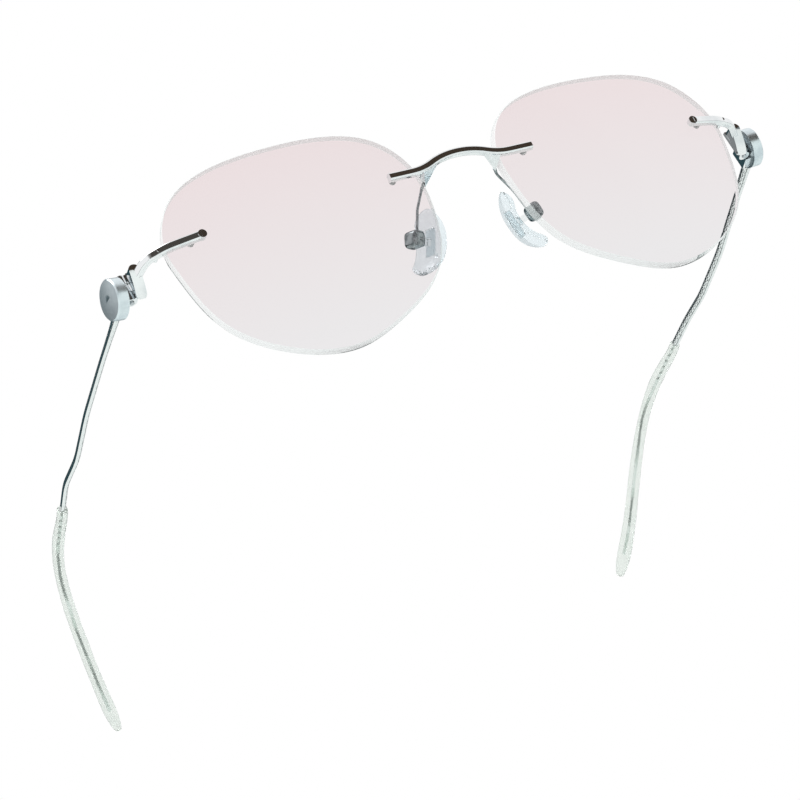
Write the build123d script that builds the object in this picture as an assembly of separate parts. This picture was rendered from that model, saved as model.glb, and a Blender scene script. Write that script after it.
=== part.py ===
from build123d import *
import os
from math import cos, radians, sin, sqrt

# Rimless eyeglasses, millimetres. +X is the wearer's left, +Y runs from the lenses to the ears, +Z is up.
# They stand open on their lens bottoms and temple tips. The front (lenses, bridge, end pieces) is drawn
# upright about the middle point between the lens centres, then leans forward by front_tilt. Hinges and
# temples are drawn level about that same point. Everything is drawn for +X and mirrored.

# lenses: 55 mm wide, 19 mm apart
lens_centre_x = 37.0
lens_wrap = 5.6          # degrees that each lens turns back at the temple side
lens_front_radius = 137.0
lens_thickness = 2.0
lens_edge_chamfer = 0.25
lens_bottom = -24.9
lens_outline = [(27.7, 3.0), (26.3, 12.2), (21.5, 18.1), (12.4, 21.5), (0, 22.2), (-12.3, 21.4), (-21.5, 18.0),
                (-27.1, 9.8), (-27.4, 0), (-22.9, -13.2), (-12.2, -21.1), (0, lens_bottom), (12.5, -21.7),
                (22.7, -13.1)]
front_tilt = 6.5

# metal bars on the lens fronts
bar_height = 1.7
bar_depth = 1.5
bar_round = 0.45
bar_gap = 0.15           # between a bar's back and the lens
bridge_z = 7.4
bridge_end_x = 16.5
bridge_foot_x = 8.8      # where the arch starts to rise
bridge_crest_x = 3.4
bridge_crest_z = 9.7
bridge_foot_radius = 12.0
bridge_crest_radius = 16.0
gusset_thickness = 0.9
end_bar_z = 6.6
end_bar_tip_x = 57.1
end_bar_edge_x = 64.2    # where the bar leaves the lens
end_bar_extra = 0.15     # taller than the bridge by this much
end_block_x = 70.4
end_block_z = 3.7
end_block_width = 2.3
end_block_height = 6.8
end_block_depth = 2.3
end_block_front_radius = 14.0    # its front is crowned, and at its middle faces down by end_block_slope
end_block_slope = 20.0
end_block_crown_set_back = 0.6

# lens fixings: a stud on the bar's back, pressed into a clear bush in a blind hole in the lens
stud_radius = 0.5
stud_reach = 1.4         # behind the bar
bush_wall = 0.2
bush_length = 1.1
fixing_play = 0.03
hole_clearance = 0.06    # beyond the stud's end
bridge_stud_x = 15.2
end_stud_x = 59.0
edge_pin_radius = 0.4
edge_pin_length = 2.4
edge_pin_from_lens = 28.8

# nose pads
pad_screw_at = Vector(13.6, 5.8, -4.0)
pad_down = Vector(0.296, 0.28, -0.915)      # along the pad, from its top to its bottom
pad_across = Vector(0.40, 0.90, 0.0)        # across the pad, from front to back, before squaring
pad_length = 14.2
pad_width = 7.6
plate_level = 4.1        # middle of the stiff plate, from the screw axis towards the nose
pad_profile = [(-7.1, 3.2), (-4.4, 4.7), (0, 5.2), (4.0, 4.6), (6.6, 2.7), (7.1, 1.2), (6.2, 0.5), (4.3, 1.6),
               (2.2, 2.8), (-2.0, 3.1), (-6.3, 2.5)]
pad_arm_radius = 0.48
pad_arm_root = Vector(8.3, 2.0, 6.0)
pad_arm_bends = [(8.9, 3.4, 5.2), (11.0, 4.4, 1.9)]
pad_arm_bend_radii = [1.5, 6.0]
box_length = 2.9
box_width = 2.8
box_bottom = -1.6        # levels in the pad's frame, from the screw axis
box_top = 0.9
box_floor = 0.5
box_slot = 1.3
box_end_wall = 0.45
box_round = 0.6
tab_thickness = 1.0
tab_width = 1.4
tab_bottom = -0.85
insert_length = 6.0
insert_width = 2.6
insert_thickness = 0.6
insert_play = 0.02
pad_screw_radius = 0.38
pad_screw_play = 0.04
pad_screw_head_radius = 0.72
pad_screw_head = 0.5

# hinges
hinge_x = 72.0
hinge_y = 12.85
hinge_mid_z = 5.6
hinge_height = 6.0
knuckle_radius = 1.2
knuckle_gap = 0.1
hinge_screw_radius = 0.5
hinge_screw_play = 0.05
hinge_screw_head_radius = 0.9
hinge_screw_head = 0.45
splay = 6.8              # degrees that the temples open outwards at the hinge
end_block_to_hinge = 1.75

# plain round boss on each temple's outer side
boss_thickness = 2.5
boss_inner_x = 1.45      # from the hinge axis
boss_y = 0.9
boss_z = -0.8
boss_radius = 4.2
boss_edge = 0.25
boss_crown_radius = 60.0

# temples: a wire that bends down behind the ear, its thinner core inside a clear cover
wire_radius = 0.82
core_radius = 0.36
core_play = 0.05
wire_route = [(74.45, 16.6, 3.05), (75.7, 30.0, 2.5), (77.1, 46.0, 1.5), (77.25, 60.5, 0.9), (77.75, 71.0, 2.1)]
wire_bends = [60, 60, 30]
ear_route = [(76.5, 95.0, 1.3), (75.2, 104.5, -0.5), (72.8, 115.5, -7.9), (69.4, 127.0, -17.4),
             (66.3, 136.1, -23.7)]
ear_bends = [45, 20, 26, 60]
cover_start = 0.375      # of the straight run from the wire's last point to the ear's first
core_stops_before_end = 5.5
cover_sections = [(0, 2.5, 2.4), (0.12, 2.75, 2.5), (0.3, 2.9, 2.5), (0.5, 3.0, 2.6), (0.7, 3.2, 2.7),
                  (0.87, 3.8, 2.9), (0.95, 3.6, 2.6), (1, 2.0, 1.4)]
cover_end_round = 0.45

front_frame = Rot(front_tilt, 0, 0)
hinge_frame = Pos(hinge_x, hinge_y, hinge_mid_z)


def lens_front_y(x, z):
    turn = radians(lens_wrap)
    middle_x = lens_centre_x - lens_front_radius * sin(turn)
    middle_y = lens_front_radius * cos(turn)
    return middle_y - sqrt(lens_front_radius ** 2 - (x - middle_x) ** 2 - z ** 2)


def rod(x, z, radius, y_from, y_to):
    return Pos(x, (y_from + y_to) / 2, z) * Rot(90, 0, 0) * Cylinder(radius, y_to - y_from)


def fixing_places():
    """The two studs of a lens: place, and the level of the bar's back face there."""
    bridge_back = lens_front_y(bridge_end_x, bridge_z) - bar_gap
    end_back = lens_front_y(end_stud_x, end_bar_z) - bar_gap
    return [(bridge_stud_x, bridge_z, bridge_back), (end_stud_x, end_bar_z, end_back)]


def make_lens():
    outline = make_face(Plane.XZ * Spline(*lens_outline, periodic=True))
    shell = Sphere(lens_front_radius) - Sphere(lens_front_radius - lens_thickness)
    lens = extrude(outline, 20, both=True) & (Pos(0, lens_front_radius, 0) * shell)
    lens = chamfer(lens.edges(), lens_edge_chamfer)
    lens = Pos(lens_centre_x, 0, 0) * Rot(0, 0, lens_wrap) * lens
    hole_radius = stud_radius + bush_wall + fixing_play
    for x, z, back in fixing_places():
        lens -= rod(x, z, hole_radius, back - 1, back + stud_reach + hole_clearance)
    return lens


def make_studs():
    end_piece = make_end_piece()
    return [rod(x, z, stud_radius, back, back + stud_reach) - end_piece for x, z, back in fixing_places()]


def make_bushes():
    bushes = []
    for x, z, back in fixing_places():
        start = back + stud_reach - bush_length
        tube = rod(x, z, stud_radius + bush_wall, start, start + bush_length)
        bushes.append(tube - rod(x, z, stud_radius + fixing_play, start - 1, start + bush_length + 1))
    return bushes


def sweep_bar(points, radii, height):
    """A bar with a rounded section, its height upright, along straight runs joined by arcs."""
    path = FilletPolyline(*points, radius=radii)
    start = Plane(origin=path @ 0, x_dir=(0, 0, 1), z_dir=path % 0)
    return sweep(start * RectangleRounded(height, bar_depth, bar_round), path)


def make_gusset(side, y):
    """A thin three-cornered web from under the arch to the root of a pad arm."""
    top_in = Vector(side * 5.4, y, bridge_z + 0.9)
    top_out = Vector(side * 9.0, y, bridge_z - 0.3)
    foot = Vector(side * pad_arm_root.X, pad_arm_root.Y + 0.2, pad_arm_root.Z - 0.3)
    web = make_face(Polyline(top_in, top_out, foot, close=True))
    return extrude(web, gusset_thickness / 2, both=True)


def make_bridge():
    y = lens_front_y(bridge_end_x, bridge_z) - bar_gap - bar_depth / 2
    half = [(bridge_end_x, y, bridge_z), (bridge_foot_x, y, bridge_z), (bridge_crest_x, y, bridge_crest_z)]
    points = half + [(-x, y, z) for x, y, z in reversed(half)]
    radii = [bridge_foot_radius, bridge_crest_radius, bridge_crest_radius, bridge_foot_radius]
    bridge = sweep_bar(points, radii, bar_height)
    pin_x = lens_centre_x - edge_pin_from_lens
    for side in (1, -1):
        bridge += rod(side * pin_x, bridge_z, edge_pin_radius, y, y + bar_depth / 2 + edge_pin_length)
        bridge += make_gusset(side, y)
    arm = make_pad_arm()
    return bridge - arm - mirror(arm, Plane.YZ)


def make_end_block(front_y):
    """An upright rounded block with a crowned front."""
    outline = Plane.XZ * RectangleRounded(end_block_width, end_block_height, end_block_width / 2 - 0.05)
    block = Pos(end_block_x, front_y, end_block_z) * extrude(outline, -end_block_depth)
    slope = radians(end_block_slope)
    crown_y = front_y + end_block_crown_set_back + end_block_front_radius * cos(slope)
    crown_z = end_block_z + end_block_front_radius * sin(slope)
    return block & Pos(end_block_x, crown_y, crown_z) * Sphere(end_block_front_radius)


def make_end_piece():
    half_depth = bar_gap + bar_depth / 2
    tip = (end_bar_tip_x, lens_front_y(end_bar_tip_x, end_bar_z) - half_depth, end_bar_z)
    edge_y = lens_front_y(end_bar_edge_x, end_bar_z) - half_depth
    block_y = hinge_y - end_block_to_hinge - end_block_depth
    points = [tip, (end_bar_edge_x, edge_y, end_bar_z), (68.4, 6.9, 6.2), (end_block_x - 0.2, block_y + 1.2, 4.9)]
    height = bar_height + end_bar_extra
    bar = sweep_bar(points, [14, 5], height)
    bar += Pos(*tip) * Rot(90, 0, 0) * Cylinder(height / 2 - 0.02, bar_depth - 0.1)
    block = make_end_block(block_y)
    pin_x = lens_centre_x + edge_pin_from_lens
    pin = rod(pin_x, end_bar_z, edge_pin_radius, edge_y, edge_y + bar_depth + edge_pin_length)
    return bar + block + pin


def pad_frame():
    """X runs down the pad, Y across it to the front, Z towards the nose; the origin is on the screw."""
    down = pad_down.normalized()
    across = (pad_across - down * pad_across.dot(down)).normalized()
    return Plane(origin=pad_screw_at, x_dir=down, z_dir=across.cross(down))


def block_between(length, width, z_from, z_to):
    return Pos(0, 0, (z_from + z_to) / 2) * Box(length, width, z_to - z_from)


def cross_bore(width):
    return Rot(90, 0, 0) * Cylinder(pad_screw_radius + pad_screw_play, width)


def make_pad_box():
    outside = block_between(box_length, box_width, box_bottom, box_top)
    outside = fillet(outside.edges().filter_by(Axis.Y), box_round)
    slot = block_between(box_length - 2 * box_end_wall, box_slot, box_bottom + box_floor, box_top + 1)
    return pad_frame() * (outside - slot - cross_bore(box_width + 1))


def make_pad_screw():
    shank = Rot(90, 0, 0) * Cylinder(pad_screw_radius, box_width)
    head_y = -(box_width + pad_screw_head) / 2
    head = Pos(0, head_y, 0) * Rot(90, 0, 0) * Cylinder(pad_screw_head_radius, pad_screw_head)
    slot = Pos(0, head_y - pad_screw_head / 2, 0) * Box(2, pad_screw_head * 0.8, 0.22)
    return pad_frame() * (shank + head - slot)


def insert_solid(play=0.0):
    """The stiff plate inside the pad and the tab that the screw holds."""
    half = insert_thickness / 2 + play
    plate = block_between(insert_length + 2 * play, insert_width + 2 * play, plate_level - half, plate_level + half)
    tab = block_between(tab_width + 2 * play, tab_thickness + 2 * play, tab_bottom, plate_level)
    return plate + tab


def make_pad_insert():
    return pad_frame() * (insert_solid() - cross_bore(box_width))


def make_pad():
    """Oval from the front, curved away from the nose at its ends, thicker at its lower end."""
    side = make_face(Plane.XZ * Spline(*pad_profile, periodic=True))
    oval = extrude(Ellipse(pad_length / 2, pad_width / 2), 10, both=True)
    return pad_frame() * (extrude(side, pad_width, both=True) & oval - insert_solid(insert_play))


def make_pad_arm():
    """A bent wire from the gusset's foot to the upper end of the pad box."""
    end = pad_frame().from_local_coords(Vector(-box_length / 2 + box_end_wall / 2, 0, 0.3))
    path = FilletPolyline(pad_arm_root, *pad_arm_bends, end, radius=pad_arm_bend_radii)
    start = Plane(origin=path @ 0, z_dir=path % 0)
    return sweep(start * Circle(pad_arm_radius), path) - make_pad_box()


def knuckle_levels():
    """Lowest and highest level of each knuckle, from the bottom one up."""
    each = hinge_height / 3
    lows = [i * each - hinge_height / 2 for i in range(3)]
    return [(low + knuckle_gap / 2, low + each - knuckle_gap / 2) for low in lows]


def upright(radius, z_from, z_to):
    return Pos(0, 0, (z_from + z_to) / 2) * Cylinder(radius, z_to - z_from)


def hinge_bore():
    return upright(hinge_screw_radius + hinge_screw_play, -hinge_height, hinge_height)


def make_front_leaf():
    """Two knuckles on a short plate that is soldered to the end block."""
    levels = knuckle_levels()
    plate_y = -end_block_to_hinge + 0.35
    leaf = Pos(-1.6, plate_y, 0) * Box(1.5, 0.7, hinge_height)
    for low, high in (levels[0], levels[2]):
        web = Pos(-0.85, plate_y / 2, (low + high) / 2) * Box(0.7, -plate_y, high - low)
        leaf += upright(knuckle_radius, low, high) + web
    return hinge_frame * (leaf - hinge_bore())


def make_rear_leaf():
    """The middle knuckle, on a plate against the boss."""
    low, high = knuckle_levels()[1]
    arm = Pos(boss_inner_x / 2, 0.3, (low + high) / 2) * Box(boss_inner_x, 1.4, high - low)
    plate = Pos(boss_inner_x - 0.35, 3.1, boss_z) * Box(0.7, 3.2, 4.4)
    bridge_bit = Pos(boss_inner_x - 0.35, 1.2, (low + high) / 2) * Box(0.7, 1.4, high - low)
    leaf = Rot(0, 0, -splay) * (arm + plate + bridge_bit) + upright(knuckle_radius, low, high)
    return hinge_frame * (leaf - hinge_bore()) - wire_socket()


def wire_socket():
    start, toward = Vector(*wire_route[0]), Vector(*wire_route[1])
    along = (toward - start).normalized()
    return Plane(origin=start, z_dir=along) * extrude(Circle(wire_radius + 0.01), 12)


def make_hinge_screw():
    low, top = knuckle_levels()[0][0], knuckle_levels()[2][1]
    head = upright(hinge_screw_head_radius, top, top + hinge_screw_head)
    slot = Pos(0, 0, top + hinge_screw_head) * Box(3, 0.25, hinge_screw_head)
    return hinge_frame * (upright(hinge_screw_radius, low - 0.3, top + 0.1) + head - slot)


def make_boss():
    crown = Pos(0, 0, boss_thickness - boss_crown_radius) * Sphere(boss_crown_radius)
    solid = extrude(Circle(boss_radius), boss_thickness) & crown
    solid = chamfer(solid.faces().sort_by(Axis.Z)[-1].edges(), boss_edge)
    outwards = Plane(origin=(boss_inner_x, boss_y, boss_z), x_dir=(0, 1, 0), z_dir=(1, 0, 0))
    return hinge_frame * Rot(0, 0, -splay) * (outwards * (Rot(0, 0, front_tilt) * solid)) - wire_socket()


def cover_start_point():
    before, after = Vector(*wire_route[-1]), Vector(*ear_route[0])
    return before + (after - before) * cover_start


def round_sweep(points, radii, radius):
    path = FilletPolyline(*points, radius=radii)
    return sweep(Plane(origin=path @ 0, z_dir=path % 0) * Circle(radius), path)


def core_points():
    before_end, end = Vector(*ear_route[-2]), Vector(*ear_route[-1])
    core_end = end - (end - before_end).normalized() * core_stops_before_end
    return [cover_start_point(), *ear_route[:-1], core_end]


def make_wire():
    wire = round_sweep([*wire_route, cover_start_point()], [*wire_bends, 25], wire_radius)
    return wire + round_sweep(core_points(), ear_bends, core_radius)


def make_cover():
    path = FilletPolyline(cover_start_point(), *ear_route, radius=ear_bends)
    sections = []
    for place, width, thickness in cover_sections:
        along = path % place
        sideways = Vector(1, 0, 0) - along * along.X
        section = Plane(origin=path @ place, x_dir=sideways, z_dir=along) * Ellipse(thickness / 2, width / 2)
        sections.append(section)
    cover = loft(sections)
    cover = fillet(cover.faces().sort_by(Axis.Y)[-1].edges(), cover_end_round)
    return cover - round_sweep(core_points(), ear_bends, core_radius + core_play)


def both_sides(name, shape, nodes):
    nodes[name + "_left"] = shape
    nodes[name + "_right"] = mirror(shape, Plane.YZ)


def group_of(shapes):
    return Compound(children=[piece for shape in shapes for piece in (shape, mirror(shape, Plane.YZ))])


def build():
    nodes = {"bridge": front_frame * make_bridge()}
    for name, make in (("lens_studs", make_studs), ("lens_bushes", make_bushes)):
        nodes[name] = group_of([front_frame * shape for shape in make()])
    front_pieces = {"lens": make_lens, "end_piece": make_end_piece, "pad_arm": make_pad_arm,
                    "pad_box": make_pad_box, "pad_screw": make_pad_screw, "pad_insert": make_pad_insert,
                    "nose_pad": make_pad}
    for name, make in front_pieces.items():
        both_sides(name, front_frame * make(), nodes)
    level_pieces = {"front_hinge_leaf": make_front_leaf, "rear_hinge_leaf": make_rear_leaf,
                    "hinge_screw": make_hinge_screw, "temple_boss": make_boss, "temple_wire": make_wire,
                    "temple_cover": make_cover}
    for name, make in level_pieces.items():
        both_sides(name, make(), nodes)
    return nodes


nodes = build()
box = Compound(children=[Compound([solid for solid in shape.solids()]) for shape in nodes.values()]).bounding_box()
to_origin = Pos(-(box.min.X + box.max.X) / 2, -(box.min.Y + box.max.Y) / 2, -box.min.Z)
os.makedirs("parts", exist_ok=True)
for name, shape in nodes.items():
    export_step(to_origin * shape, f"parts/{name}.step")
    print(name, round(shape.volume, 2))

print("box", box)
print("hinge axis through", (to_origin * hinge_frame).position)
print("pad screw at", (to_origin * front_frame * Pos(*pad_screw_at)).position)
print("pad screw direction", Plane(front_frame * pad_frame().location).y_dir)
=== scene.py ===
import bmesh
import bpy
import math
from mathutils import Matrix, Vector, noise


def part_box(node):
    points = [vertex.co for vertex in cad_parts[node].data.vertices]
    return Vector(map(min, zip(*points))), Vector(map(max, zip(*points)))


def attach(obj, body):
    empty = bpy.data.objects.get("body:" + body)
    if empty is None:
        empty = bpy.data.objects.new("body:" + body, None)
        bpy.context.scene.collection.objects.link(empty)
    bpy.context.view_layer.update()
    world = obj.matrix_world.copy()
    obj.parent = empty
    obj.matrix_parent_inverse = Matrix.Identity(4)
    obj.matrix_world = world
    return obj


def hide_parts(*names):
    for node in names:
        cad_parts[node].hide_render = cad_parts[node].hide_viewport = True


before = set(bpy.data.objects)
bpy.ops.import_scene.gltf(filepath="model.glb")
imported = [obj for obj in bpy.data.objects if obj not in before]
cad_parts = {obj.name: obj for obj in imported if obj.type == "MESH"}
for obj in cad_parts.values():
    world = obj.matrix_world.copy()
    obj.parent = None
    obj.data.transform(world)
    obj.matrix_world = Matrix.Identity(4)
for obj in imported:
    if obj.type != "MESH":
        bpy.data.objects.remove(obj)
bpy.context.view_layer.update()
bpy.context.scene.view_settings.view_transform = "Standard"
mm = 0.001


def linear(hexColour):
    # the sRGB curve, from a hex colour to the linear values that shaders take
    channels = [int(hexColour[i:i + 2], 16) / 255 for i in (1, 3, 5)]
    return tuple(c / 12.92 if c < 0.04045 else ((c + 0.055) / 1.055) ** 2.4 for c in channels) + (1.0,)


def addNode(tree, kind, settings=None, values=None, links=None):
    # settings are the node's own fields, values its input sockets,
    # and links maps an input to another node's output
    node = tree.nodes.new(kind)
    for field, value in (settings or {}).items():
        setattr(node, field, value)
    for socket, value in (values or {}).items():
        node.inputs[socket].default_value = value
    for socket, output in (links or {}).items():
        tree.links.new(output, node.inputs[socket])
    return node


def newMaterial(name):
    material = bpy.data.materials.new(name)
    material.use_nodes = True
    material.node_tree.nodes.clear()
    return material, material.node_tree


def finishMaterial(tree, shader):
    addNode(tree, "ShaderNodeOutputMaterial", links={"Surface": shader})


view = {
    "azimuth": 28.94,      # degrees that the camera stands towards the wearer's right of straight ahead
    "below": 27.85,        # degrees that it looks up from below
    "roll": -29.43,
    "distance": 0.6444,
    "target": (-0.0007, 0.0006, 0.0232),
    "lens": 133.25,
    "sensor": 36,
    "nearest": 0.01,
}


def makeCamera():
    camera = bpy.data.objects.new("camera", bpy.data.cameras.new("camera"))
    bpy.context.scene.collection.objects.link(camera)
    turn = Matrix.Rotation(math.radians(-view["azimuth"]), 4, "Z")
    tip = Matrix.Rotation(math.radians(90 + view["below"]), 4, "X")
    roll = Matrix.Rotation(math.radians(view["roll"]), 4, "Z")
    back = Matrix.Translation((0, 0, view["distance"]))
    camera.matrix_world = Matrix.Translation(view["target"]) @ turn @ tip @ roll @ back
    camera.data.lens = view["lens"]
    camera.data.sensor_width = view["sensor"]
    camera.data.clip_start = view["nearest"]
    bpy.context.scene.camera = camera


makeCamera()
print("camera placed")


# a white studio, with cards that only polished surfaces mirror, over a pale floor
studio = {
    "floor": "#E3E8E6",
    "floorSize": 3.0,
    "above": "#FFFFFF",
    "below": "#D3E0DC",
    "fadeFrom": -0.25, "fadeTo": 0.2,       # heights between which below turns into above
    "horizon": "#6E7678",      # a grey band all round, which draws a thin line along each wire's edge
    "horizonHeight": 0.02,
    "horizonWidth": 0.14,
    "horizonCore": 0.02,
}
cards = [
    # the direction each card stands in, the cosines of its solid middle and its soft edge, its colour
    {"towards": (0.20, -0.93, 0.31), "middle": 0.90, "edge": 0.86, "colour": "#40372F"},
    {"towards": (-0.25, -0.85, 0.47), "middle": 0.96, "edge": 0.89, "colour": "#4A4743"},
    {"towards": (0.00, 0.80, 0.60), "middle": 0.915, "edge": 0.76, "colour": "#324A50"},
    {"towards": (-0.64, 0.76, 0.10), "middle": 0.94, "edge": 0.90, "colour": "#20282A"},
]
softbox = {"place": (-0.35, -0.2, 0.9), "size": 0.6, "power": 3}


def makeWorld():
    world = bpy.data.worlds.new("studio")
    bpy.context.scene.world = world
    world.use_nodes = True
    tree = world.node_tree
    tree.nodes.clear()
    direction = addNode(tree, "ShaderNodeTexCoord").outputs["Generated"]
    height = addNode(tree, "ShaderNodeSeparateXYZ", links={0: direction}).outputs["Z"]
    up = addNode(tree, "ShaderNodeMapRange", values={1: studio["fadeFrom"], 2: studio["fadeTo"]},
                 links={0: height}).outputs[0]
    room = addNode(tree, "ShaderNodeMix", {"data_type": "RGBA"},
                   {6: linear(studio["below"]), 7: linear(studio["above"])}, {0: up}).outputs[2]
    off = addNode(tree, "ShaderNodeMath", {"operation": "SUBTRACT"}, {1: studio["horizonHeight"]},
                  {0: height})
    away = addNode(tree, "ShaderNodeMath", {"operation": "ABSOLUTE"}, links={0: off.outputs[0]}).outputs[0]
    band = addNode(tree, "ShaderNodeMapRange", {"interpolation_type": "SMOOTHSTEP"},
                   {1: studio["horizonWidth"], 2: studio["horizonCore"]}, {0: away}).outputs[0]
    mirrored = addNode(tree, "ShaderNodeMix", {"data_type": "RGBA"}, {7: linear(studio["horizon"])},
                       {0: band, 6: room}).outputs[2]
    for card in cards:
        towards = Vector(card["towards"]).normalized()
        facing = addNode(tree, "ShaderNodeVectorMath", {"operation": "DOT_PRODUCT"}, {1: towards},
                         {0: direction})
        inCard = addNode(tree, "ShaderNodeMapRange", {"interpolation_type": "SMOOTHSTEP"},
                         {1: card["edge"], 2: card["middle"]}, {0: facing.outputs["Value"]}).outputs[0]
        mirrored = addNode(tree, "ShaderNodeMix", {"data_type": "RGBA"}, {7: linear(card["colour"])},
                           {0: inCard, 6: mirrored}).outputs[2]
    rays = addNode(tree, "ShaderNodeLightPath").outputs
    # light that comes through a clear piece is white, and only what is mirrored shows the cards
    onlyMirrored = addNode(tree, "ShaderNodeMath", {"operation": "SUBTRACT", "use_clamp": True},
                           links={0: rays["Is Glossy Ray"], 1: rays["Is Transmission Ray"]}).outputs[0]
    seen = addNode(tree, "ShaderNodeMix", {"data_type": "RGBA"}, {6: (1, 1, 1, 1)},
                   {0: onlyMirrored, 7: mirrored}).outputs[2]
    background = addNode(tree, "ShaderNodeBackground", links={"Color": seen}).outputs[0]
    addNode(tree, "ShaderNodeOutputWorld", links={"Surface": background})


def makeFloor():
    bpy.ops.mesh.primitive_grid_add(size=studio["floorSize"], x_subdivisions=2, y_subdivisions=2)
    floor = bpy.context.object
    floor.name = "floor"
    material, tree = newMaterial("paleFloorPaper")
    paper = addNode(tree, "ShaderNodeBsdfDiffuse", values={"Color": linear(studio["floor"])}).outputs[0]
    clear = addNode(tree, "ShaderNodeBsdfTransparent").outputs[0]
    # the paper can be looked through from below
    side = addNode(tree, "ShaderNodeNewGeometry").outputs["Backfacing"]
    mixed = addNode(tree, "ShaderNodeMixShader", links={0: side, 1: paper, 2: clear}).outputs[0]
    finishMaterial(tree, mixed)
    floor.data.materials.append(material)


def makeSoftbox():
    light = bpy.data.objects.new("softbox", bpy.data.lights.new("softbox", "AREA"))
    bpy.context.scene.collection.objects.link(light)
    light.data.size = softbox["size"]
    light.data.energy = softbox["power"]
    light.location = softbox["place"]
    light.rotation_euler = (-Vector(softbox["place"])).to_track_quat("-Z", "Y").to_euler()


makeWorld()
makeFloor()
makeSoftbox()
print("studio ready")


plate = {                    # rhodium over polished nickel silver: a cool, almost white mirror
    "name": "polishedRhodiumPlate",
    "colour": "#EDEFF0",
    "dulled": "#DDE1E3",     # where fingers and cloths have taken the first brightness off
    "dullPatch": 4.0,        # mm across
    "roughness": (0.03, 0.09),
    "hairline": 0.12,        # mm between polishing hairlines, drawn coarser than real so that they show
    "hairlineDepth": 0.0012,
}
brushed = {                  # the same plate over a finely brushed face: soft, blurred reflections
    "name": "brushedRhodiumPlate",
    "colour": "#DCE6EA",
    "dulled": "#CBD6DC",
    "dullPatch": 3.0,
    "roughness": (0.28, 0.36),
    "hairline": 0.1,
    "hairlineDepth": 0.0015,
}
cast = {                     # cast and tumbled steel: darker than the plate, with greyer patches
    "name": "castAndTumbledSteel",
    "colour": "#9FA8AA",
    "dulled": "#6A7375",
    "dullPatch": 1.2,
    "roughness": (0.02, 0.07),
    "hairline": 0.15,
    "hairlineDepth": 0.002,
}
satin = {                    # turned steel screws: satin, with the lathe's fine marks
    "name": "turnedStainlessSteel",
    "colour": "#C6CBCE",
    "dulled": "#A7ADB0",
    "dullPatch": 0.8,
    "roughness": (0.18, 0.3),
    "hairline": 0.08,
    "hairlineDepth": 0.003,
}
wear = {
    "dullFrom": 0.45, "dullTo": 0.7,        # levels of the patch noise between which metal turns dull
    "roughFrom": 0.3, "roughTo": 0.75,
    "hairlineStretch": (0.12, 1, 1),        # hairlines run across the glasses
    "bump": 0.5,
}


def noiseAt(tree, place, spacing, detail=2.0, squeeze=(1, 1, 1)):
    # a noise whose blobs are about spacing millimetres across
    scaled = addNode(tree, "ShaderNodeMapping", values={"Scale": squeeze}, links={"Vector": place}).outputs[0]
    return addNode(tree, "ShaderNodeTexNoise", values={"Scale": 1 / (spacing * mm), "Detail": detail},
                   links={"Vector": scaled}).outputs["Fac"]


def makeMetal(finish):
    # a clean mirror or satin whose reflections waver a little along fine polishing hairlines
    material, tree = newMaterial(finish["name"])
    place = addNode(tree, "ShaderNodeTexCoord").outputs["Object"]
    patches = noiseAt(tree, place, finish["dullPatch"])
    dull = addNode(tree, "ShaderNodeMapRange", values={1: wear["dullFrom"], 2: wear["dullTo"]},
                   links={0: patches}).outputs[0]
    colour = addNode(tree, "ShaderNodeMix", {"data_type": "RGBA"},
                     {6: linear(finish["colour"]), 7: linear(finish["dulled"])}, {0: dull}).outputs[2]
    low, high = finish["roughness"]
    roughness = addNode(tree, "ShaderNodeMapRange",
                        values={1: wear["roughFrom"], 2: wear["roughTo"], 3: low, 4: high}, links={0: patches})
    lines = noiseAt(tree, place, finish["hairline"], squeeze=wear["hairlineStretch"])
    bump = addNode(tree, "ShaderNodeBump",
                   values={"Strength": wear["bump"], "Distance": finish["hairlineDepth"] * mm},
                   links={"Height": lines}).outputs[0]
    shader = addNode(tree, "ShaderNodeBsdfPrincipled", values={"Metallic": 1.0},
                     links={"Base Color": colour, "Roughness": roughness.outputs[0], "Normal": bump})
    finishMaterial(tree, shader.outputs[0])
    return material


rhodium = makeMetal(plate)
brushedRhodium = makeMetal(brushed)
castSteel = makeMetal(cast)
steel = makeMetal(satin)

blackened = {                # plate over engraving: bright lands, and grooves blackened to show the pattern up
    "name": "engravedRhodiumPlate",
    "land": "#E9ECEC",
    "groove": "#3C4344",
    "grain": 0.25, "grainDetail": 3.0,      # mm, how finely the blackening has worn
    "darkFrom": 0.05, "darkTo": 0.5,
    "roughness": (0.08, 0.5),
}


def makeEngravedMetal():
    material, tree = newMaterial(blackened["name"])
    groove = addNode(tree, "ShaderNodeAttribute", {"attribute_name": "groove"}).outputs["Fac"]
    place = addNode(tree, "ShaderNodeTexCoord").outputs["Object"]
    grain = noiseAt(tree, place, blackened["grain"], blackened["grainDetail"])
    worn = addNode(tree, "ShaderNodeMath", {"operation": "MULTIPLY"}, links={0: groove, 1: grain}).outputs[0]
    dark = addNode(tree, "ShaderNodeMapRange", values={1: blackened["darkFrom"], 2: blackened["darkTo"]},
                   links={0: worn}).outputs[0]
    colour = addNode(tree, "ShaderNodeMix", {"data_type": "RGBA"},
                     {6: linear(blackened["land"]), 7: linear(blackened["groove"])}, {0: dark}).outputs[2]
    low, high = blackened["roughness"]
    roughness = addNode(tree, "ShaderNodeMapRange", values={3: low, 4: high}, links={0: dark}).outputs[0]
    shader = addNode(tree, "ShaderNodeBsdfPrincipled", values={"Metallic": 1.0},
                     links={"Base Color": colour, "Roughness": roughness})
    finishMaterial(tree, shader.outputs[0])
    return material


engraved = makeEngravedMetal()


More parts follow.
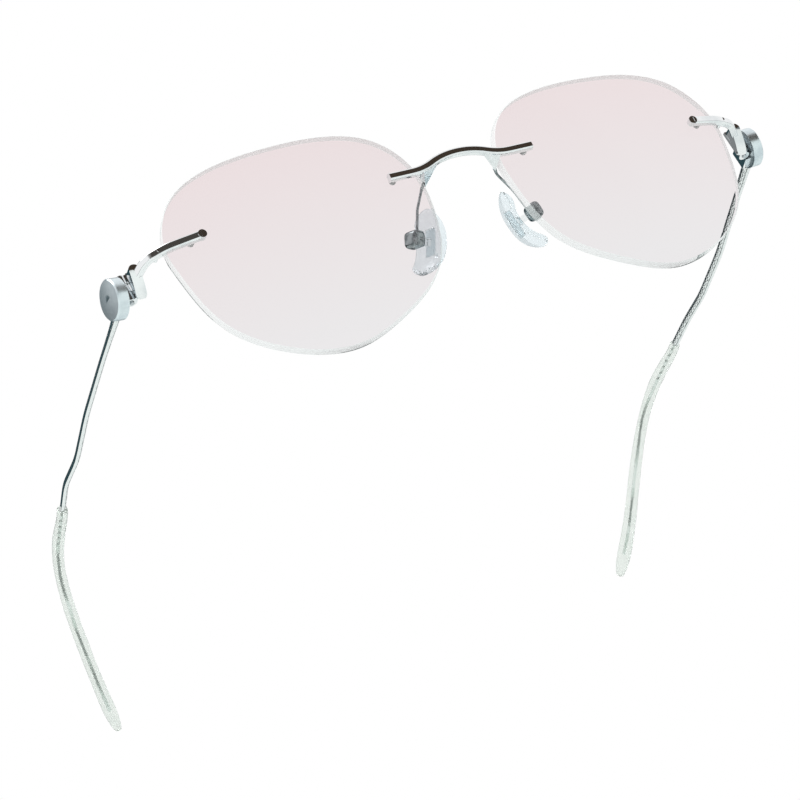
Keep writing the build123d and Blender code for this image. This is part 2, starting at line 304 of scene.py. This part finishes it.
lensLook = {
    "upper": "#ECE0E1",      # pale rose tint, fading to a cooler grey low down
    "lower": "#EBE9EA",
    "tintTop": 44, "tintBottom": 4,       # mm above the floor
    "ior": 1.12,             # resin is near 1.5, and this keeps dark lines out of the thin rim
    "glare": 0.03,           # the coating leaves little reflection
    "edge": "#EEF3F3",
    "edgeRoughness": 0.45,
    "edgeGlare": 0.2,
    "edgeClear": 0.55,       # share of the light that the buffed edge lets straight through
    "grind": 0.35, "grindDepth": 0.01,    # mm, the marks that the edging wheel leaves
    "grindBump": 0.4,
    "faceFrom": 0.8,         # surfaces that face front or back by more than this are lens, the rest is edge
}


def makeLensMaterial():
    # allyl resin lens, dip tinted and anti-reflection coated: clear, even and almost without glare;
    # its edge is flat-buffed, so it looks like pale frosted plastic
    material, tree = newMaterial("tintedResinLens")
    coordinates = addNode(tree, "ShaderNodeTexCoord")
    height = addNode(tree, "ShaderNodeSeparateXYZ", links={0: coordinates.outputs["Object"]}).outputs["Z"]
    high = addNode(tree, "ShaderNodeMapRange",
                   values={1: lensLook["tintBottom"] * mm, 2: lensLook["tintTop"] * mm},
                   links={0: height}).outputs[0]
    tint = addNode(tree, "ShaderNodeMix", {"data_type": "RGBA"},
                   {6: linear(lensLook["lower"]), 7: linear(lensLook["upper"])}, {0: high}).outputs[2]
    body = addNode(tree, "ShaderNodeBsdfPrincipled",
                   values={"Roughness": 0.0, "IOR": lensLook["ior"], "Transmission Weight": 1.0,
                           "Specular IOR Level": lensLook["glare"]},
                   links={"Base Color": tint}).outputs[0]
    marks = noiseAt(tree, coordinates.outputs["Object"], lensLook["grind"])
    bump = addNode(tree, "ShaderNodeBump",
                   values={"Strength": lensLook["grindBump"], "Distance": lensLook["grindDepth"] * mm},
                   links={"Height": marks}).outputs[0]
    buffed = addNode(tree, "ShaderNodeBsdfPrincipled",
                     values={"Base Color": linear(lensLook["edge"]), "Roughness": lensLook["edgeRoughness"],
                             "Specular IOR Level": lensLook["edgeGlare"]}, links={"Normal": bump}).outputs[0]
    clear = addNode(tree, "ShaderNodeBsdfTransparent").outputs[0]
    edge = addNode(tree, "ShaderNodeMixShader", values={0: lensLook["edgeClear"]},
                   links={1: buffed, 2: clear}).outputs[0]
    flatness = addNode(tree, "ShaderNodeSeparateXYZ", links={0: coordinates.outputs["Normal"]}).outputs["Y"]
    facing = addNode(tree, "ShaderNodeMath", {"operation": "ABSOLUTE"}, links={0: flatness}).outputs[0]
    onFace = addNode(tree, "ShaderNodeMath", {"operation": "GREATER_THAN"}, {1: lensLook["faceFrom"]},
                     {0: facing}).outputs[0]
    mixed = addNode(tree, "ShaderNodeMixShader", links={0: onFace, 1: edge, 2: body}).outputs[0]
    finishMaterial(tree, mixed)
    return material


lensMaterial = makeLensMaterial()


# clear mouldings, sizes and depths in mm; the softer ones have a low index, so that what lies inside shows
silicone = {
    "name": "clearMouldedSilicone",    # soft and faintly blue, with a satin skin
    "colour": "#F6FBFD", "cloud": "#E8F2F6", "cloudSize": 3.0,
    "roughness": (0.12, 0.25), "ior": 1.1, "clear": 0.88, "ripple": 1.6, "rippleDepth": 0.015,
}
acetate = {
    "name": "milkyClearPropionate",    # injection moulded, with flow clouds and a slightly wavy skin
    "colour": "#F8FAF7", "cloud": "#E2EAE5", "cloudSize": 2.2,
    "roughness": (0.12, 0.3), "ior": 1.12, "clear": 0.8, "ripple": 2.2, "rippleDepth": 0.02,
}
polycarbonate = {
    "name": "clearPolycarbonateInsert",    # hard, bright and nearly lost to sight inside the pad
    "colour": "#F8FAFA", "cloud": "#EDF1F2", "cloudSize": 1.5,
    "roughness": (0.05, 0.12), "ior": 1.07, "clear": 0.94, "ripple": 0.8, "rippleDepth": 0.01,
}
nylon = {
    "name": "clearNylonBush",          # natural nylon, faintly grey
    "colour": "#EEF1F0", "cloud": "#E2E8E6", "cloudSize": 0.8,
    "roughness": (0.15, 0.25), "ior": 1.53, "clear": 0.9, "ripple": 0.5, "rippleDepth": 0.01,
}
moulding = {
    "cloudDetail": 4.0,
    "roughFrom": 0.3, "roughTo": 0.7,      # levels of the cloud noise between which the skin turns satin
    "bump": 0.5,
}


def makeClear(finish):
    material, tree = newMaterial(finish["name"])
    place = addNode(tree, "ShaderNodeTexCoord").outputs["Object"]
    clouds = noiseAt(tree, place, finish["cloudSize"], moulding["cloudDetail"])
    colour = addNode(tree, "ShaderNodeMix", {"data_type": "RGBA"},
                     {6: linear(finish["colour"]), 7: linear(finish["cloud"])}, {0: clouds}).outputs[2]
    low, high = finish["roughness"]
    roughness = addNode(tree, "ShaderNodeMapRange",
                        values={1: moulding["roughFrom"], 2: moulding["roughTo"], 3: low, 4: high},
                        links={0: clouds})
    ripples = noiseAt(tree, place, finish["ripple"])
    bump = addNode(tree, "ShaderNodeBump",
                   values={"Strength": moulding["bump"], "Distance": finish["rippleDepth"] * mm},
                   links={"Height": ripples}).outputs[0]
    shader = addNode(tree, "ShaderNodeBsdfPrincipled",
                     values={"IOR": finish["ior"], "Transmission Weight": finish["clear"]},
                     links={"Base Color": colour, "Roughness": roughness.outputs[0], "Normal": bump})
    finishMaterial(tree, shader.outputs[0])
    return material


siliconeMaterial = makeClear(silicone)
acetateMaterial = makeClear(acetate)
bushMaterial = makeClear(nylon)
insertMaterial = makeClear(polycarbonate)
print("materials made")


mergeWithin = 0.002      # mm
softening = 0.5          # how far one round of smoothing moves a point towards its neighbours


def finerCopy(name, node, voxel, rounds):
    # a merged copy of the node's shape as even small faces, softened by a few rounds of smoothing
    start = bmesh.new()
    start.from_mesh(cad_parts[node].data)
    bmesh.ops.remove_doubles(start, verts=start.verts, dist=mergeWithin * mm)
    mesh = bpy.data.meshes.new(name)
    start.to_mesh(mesh)
    start.free()
    piece = bpy.data.objects.new(name, mesh)
    bpy.context.scene.collection.objects.link(piece)
    remesh = piece.modifiers.new("remesh", "REMESH")
    remesh.mode = "VOXEL"
    remesh.voxel_size = voxel * mm
    fine = bpy.data.meshes.new_from_object(piece.evaluated_get(bpy.context.evaluated_depsgraph_get()))
    piece.modifiers.clear()
    piece.data = fine
    soft = bmesh.new()
    soft.from_mesh(fine)
    for _ in range(rounds):
        bmesh.ops.smooth_vert(soft, verts=soft.verts, factor=softening,
                              use_axis_x=True, use_axis_y=True, use_axis_z=True)
    for face in soft.faces:
        face.smooth = True
    soft.to_mesh(fine)
    soft.free()
    return piece


def pushOut(piece, depthAt):
    # moves each point along its normal by depthAt(point, normal) millimetres
    shape = bmesh.new()
    shape.from_mesh(piece.data)
    shape.normal_update()
    moves = [(vert, vert.normal * depthAt(vert.co, vert.normal) * mm) for vert in shape.verts]
    for vert, move in moves:
        vert.co += move
    shape.to_mesh(piece.data)
    shape.free()


def settle(piece, body, node, material):
    piece.data.materials.clear()
    piece.data.materials.append(material)
    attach(piece, body)
    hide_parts(node)


pad = {"voxel": 0.2, "rounds": 8}


def makeNosePad(side):
    node = "nose_pad_" + side
    piece = finerCopy("silicone_pad_" + side, node, pad["voxel"], pad["rounds"])
    settle(piece, node, node, siliconeMaterial)


box = {"voxel": 0.12, "rounds": 4, "crown": 0.35}      # mm, the crown is how far its sides are pillowed


def makePadBox(side):
    # a cast box with pillowed sides, which mirror dark and pale patches
    node = "pad_box_" + side
    piece = finerCopy("cast_pad_box_" + side, node, box["voxel"], box["rounds"])
    low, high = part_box(node)
    middle, half = (low + high) / 2, (high - low).length / 2

    def depthAt(point, normal):
        return box["crown"] * (1 - min(1.0, (point - middle).length / half) ** 2)

    pushOut(piece, depthAt)
    settle(piece, "front", node, castSteel)


arm = {"voxel": 0.1, "rounds": 1, "slimming": 0.2, "fullEnd": 1.0}


def makePadArm(side):
    # a drawn wire that thins between the ends that are brazed on
    node = "pad_arm_" + side
    piece = finerCopy("drawn_pad_arm_" + side, node, arm["voxel"], arm["rounds"])
    low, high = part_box(node)

    def depthAt(point, normal):
        fromEnd = min(point.z - low.z, high.z - point.z) / (arm["fullEnd"] * mm)
        return -arm["slimming"] * min(1.0, max(0.0, fromEnd))

    pushOut(piece, depthAt)
    settle(piece, "front", node, castSteel)


cover = {
    "voxel": 0.2, "rounds": 3,
    "wave": 5.5, "waveDepth": 0.07,      # mm, the slow waves of the moulding
    "dimple": 1.8, "dimpleDepth": 0.02,
}


def makeEarCover(side):
    node = "temple_cover_" + side
    piece = finerCopy("ear_cover_" + side, node, cover["voxel"], cover["rounds"])

    def depthAt(point, normal):
        slow = noise.noise(point / (cover["wave"] * mm)) * cover["waveDepth"]
        return slow + noise.noise(point / (cover["dimple"] * mm)) * cover["dimpleDepth"]

    pushOut(piece, depthAt)
    settle(piece, "temple_" + side, node, acetateMaterial)


wire = {
    "voxel": 0.1, "rounds": 1,
    "radius": 0.82,
    "swellAtBoss": 0.18, "swellLength": 12.0,  # mm, the wire thickens towards the boss
    "flattening": 0.18,      # mm taken off each side of the section across its outer upper corner
    "outerFlat": 0.24,       # mm cut from the outer side, which leaves a long flat strip
    "flatTurn": 0.1,         # the flat fades out where the surface turns away from outwards by this cosine
    "braidPitch": 2.8, "braidSwing": 0.55,    # mm, two strands that cross along the wire's inner face
    "waverOver": 0.9, "waver": 0.14,          # mm, how the engraver's line wanders
    "borderAt": 1.0,         # mm from the middle of the inner face, measured round the wire
    "grooveWidth": 0.17, "grooveDepth": 0.07,
    "stipple": 0.35, "stippleShare": 0.75,    # the matted ground between the strands
    "allRoundFrom": 6.0,     # mm of wire beside the boss that is engraved all round
    "corePitch": 1.7, "coreDepth": 0.1,       # the notches that grip the cover's neck
    "coreRun": (0, 0.78, -0.62),              # the way the ear end runs, which the notches are cut across
    "coreNeck": 13.0, "coreStreak": 7.0,      # mm of notched neck, and the length of the dull streaks after it
    "streakShare": 0.35, "streakContrast": 2.5,
}


def makeTempleWire(side):
    node = "temple_wire_" + side
    piece = finerCopy("temple_rod_" + side, node, wire["voxel"], wire["rounds"])
    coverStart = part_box("temple_cover_" + side)[0].y
    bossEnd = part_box("temple_boss_" + side)[1].y
    bend = Vector(wire["coreRun"])
    inner = -1 if side == "left" else 1
    corner = Vector((-inner, 0, 1)).normalized()
    shares = []

    def engraving(point, normal):
        along = 2 * math.pi * point.y / (wire["braidPitch"] * mm)
        waver = noise.noise(point / (wire["waverOver"] * mm)) * wire["waver"]
        across = wire["radius"] * math.atan2(normal.z, normal.x * inner) + waver
        swing = wire["braidSwing"] * math.sin(along)
        nearest = min(abs(across - swing), abs(across + swing), abs(abs(across) - wire["borderAt"]))
        share = max(0.0, 1 - nearest / wire["grooveWidth"])
        ground = max(0.0, noise.noise(point / (wire["stipple"] * mm))) * wire["stippleShare"]
        beyond = abs(across) > wire["borderAt"] + wire["grooveWidth"]
        if beyond and point.y > bossEnd + wire["allRoundFrom"] * mm:
            return 0.0
        return min(1.0, share + ground)

    def depthAt(point, normal):
        outward = max(wire["flatTurn"], -inner * normal.x)
        flat = min(0.0, (wire["radius"] - wire["outerFlat"]) / outward - wire["radius"])
        toBoss = max(0.0, 1 - max(0.0, point.y - bossEnd) / (wire["swellLength"] * mm))
        body = wire["swellAtBoss"] * toBoss ** 2 - wire["flattening"] * normal.dot(corner) ** 2 + flat
        if point.y > coverStart:
            notch = math.sin(2 * math.pi * point.dot(bend) / (wire["corePitch"] * mm))
            blotch = noise.noise(point / (wire["coreStreak"] * mm))
            streak = wire["streakShare"] + wire["streakContrast"] * blotch
            mark = notch if point.y < coverStart + wire["coreNeck"] * mm else streak
            shares.append(min(1.0, max(0.0, mark)))
            return -shares[-1] * wire["coreDepth"]
        shares.append(engraving(point, normal))
        return body - shares[-1] * wire["grooveDepth"]

    pushOut(piece, depthAt)
    piece.data.attributes.new("groove", "FLOAT", "POINT").data.foreach_set("value", shares)
    settle(piece, "temple_" + side, node, engraved)


for side in ("left", "right"):
    makeNosePad(side)
    makePadBox(side)
    makePadArm(side)
    makeEarCover(side)
    makeTempleWire(side)
    print(side, "pad, pad box, pad arm, ear cover and temple wire made")


# the pieces that keep their CAD shape, which are polished plate unless they are named here
finishes = {
    "lens_left": lensMaterial, "lens_right": lensMaterial, "lens_bushes": bushMaterial,
    "hinge_screw_left": steel, "hinge_screw_right": steel, "pad_screw_left": steel, "pad_screw_right": steel,
    "pad_insert_left": insertMaterial, "pad_insert_right": insertMaterial,
    "temple_boss_left": brushedRhodium, "temple_boss_right": brushedRhodium,
}
for name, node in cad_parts.items():
    node.data.materials.clear()
    node.data.materials.append(finishes.get(name, rhodium))
print("finishes set")
